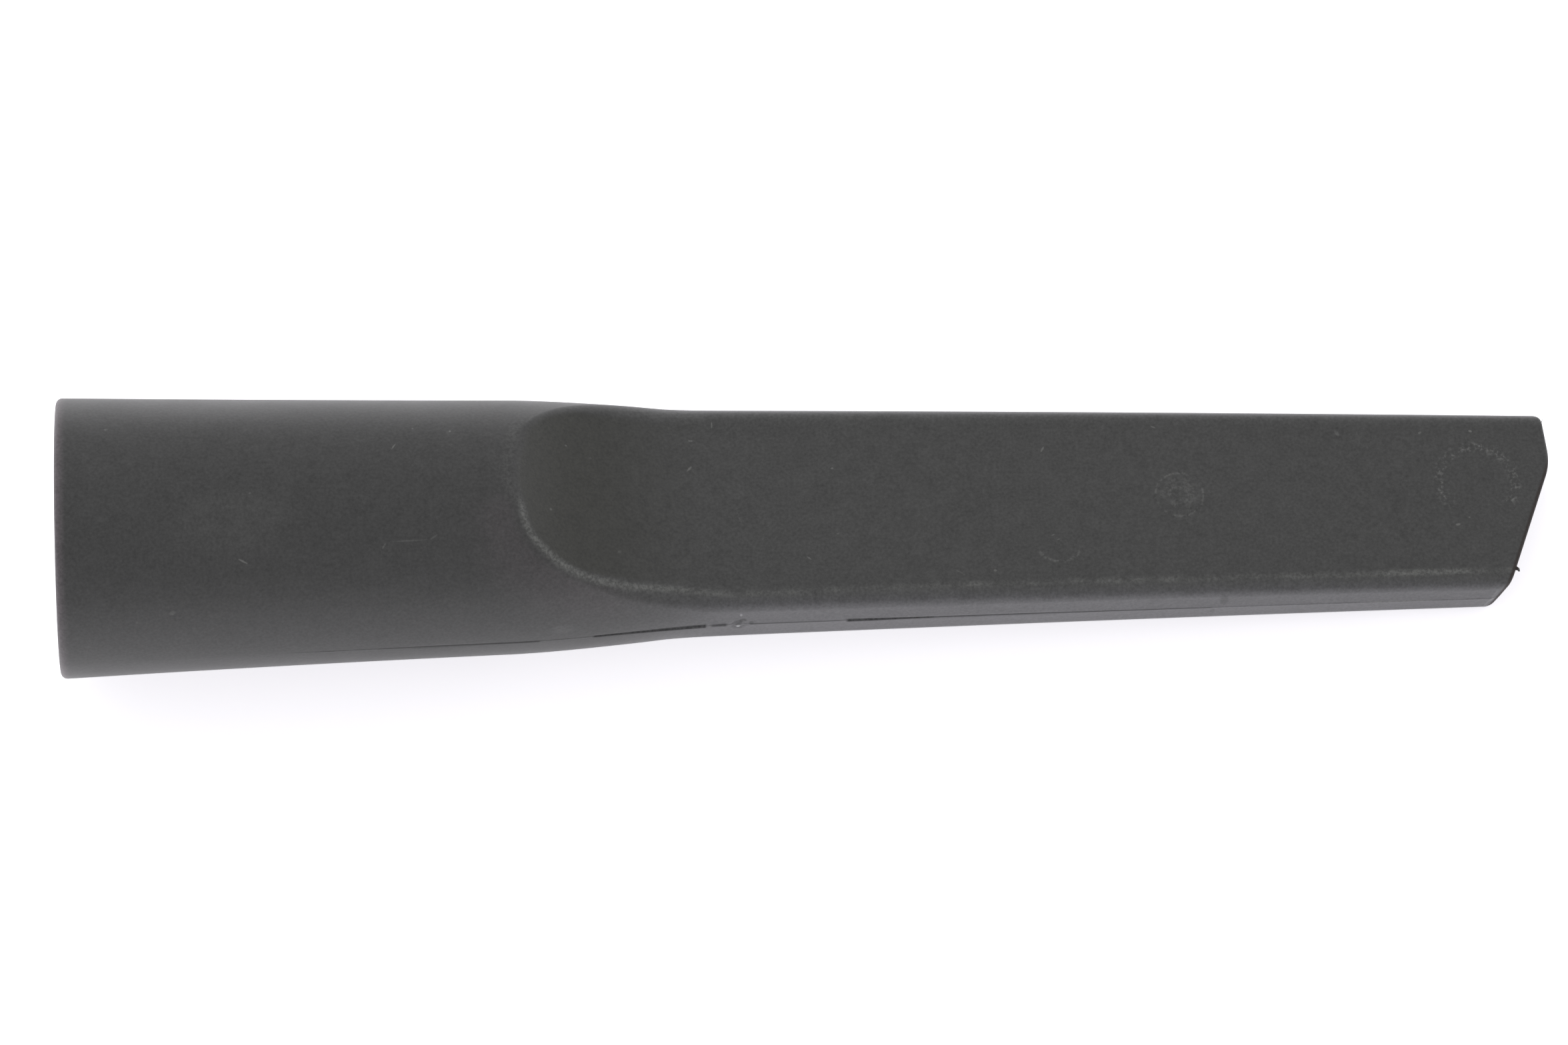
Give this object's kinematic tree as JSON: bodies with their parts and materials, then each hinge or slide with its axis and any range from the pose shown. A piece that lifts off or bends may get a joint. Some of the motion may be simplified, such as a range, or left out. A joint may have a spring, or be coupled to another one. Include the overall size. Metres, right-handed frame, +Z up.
{
  "type": "crevice nozzle",
  "caption": "Hollow plastic crevice nozzle for a vacuum cleaner: round tapered socket, scooped transition, flat tapered duct, obliquely cut slot mouth.",
  "frame": {"origin": "centre of the bounding box's underside, on the surface that the nozzle lies on", "axes": "+X level, from the socket towards the mouth; +Z up; +Y across the width, towards the side where the mouth reaches furthest. The duct's own axis falls 5.36 degrees towards the mouth, because the nozzle lies on the underside of its socket's neck and on the lower lip of its mouth"},
  "size_m": [0.2114, 0.0394, 0.0432],
  "materials": {
    "moulded_plastic": "charcoal polypropylene with a fine matte spark-eroded grain"
  },
  "bodies": {
    "root": {"nozzle_body": "moulded_plastic"}
  },
  "joints": []
}
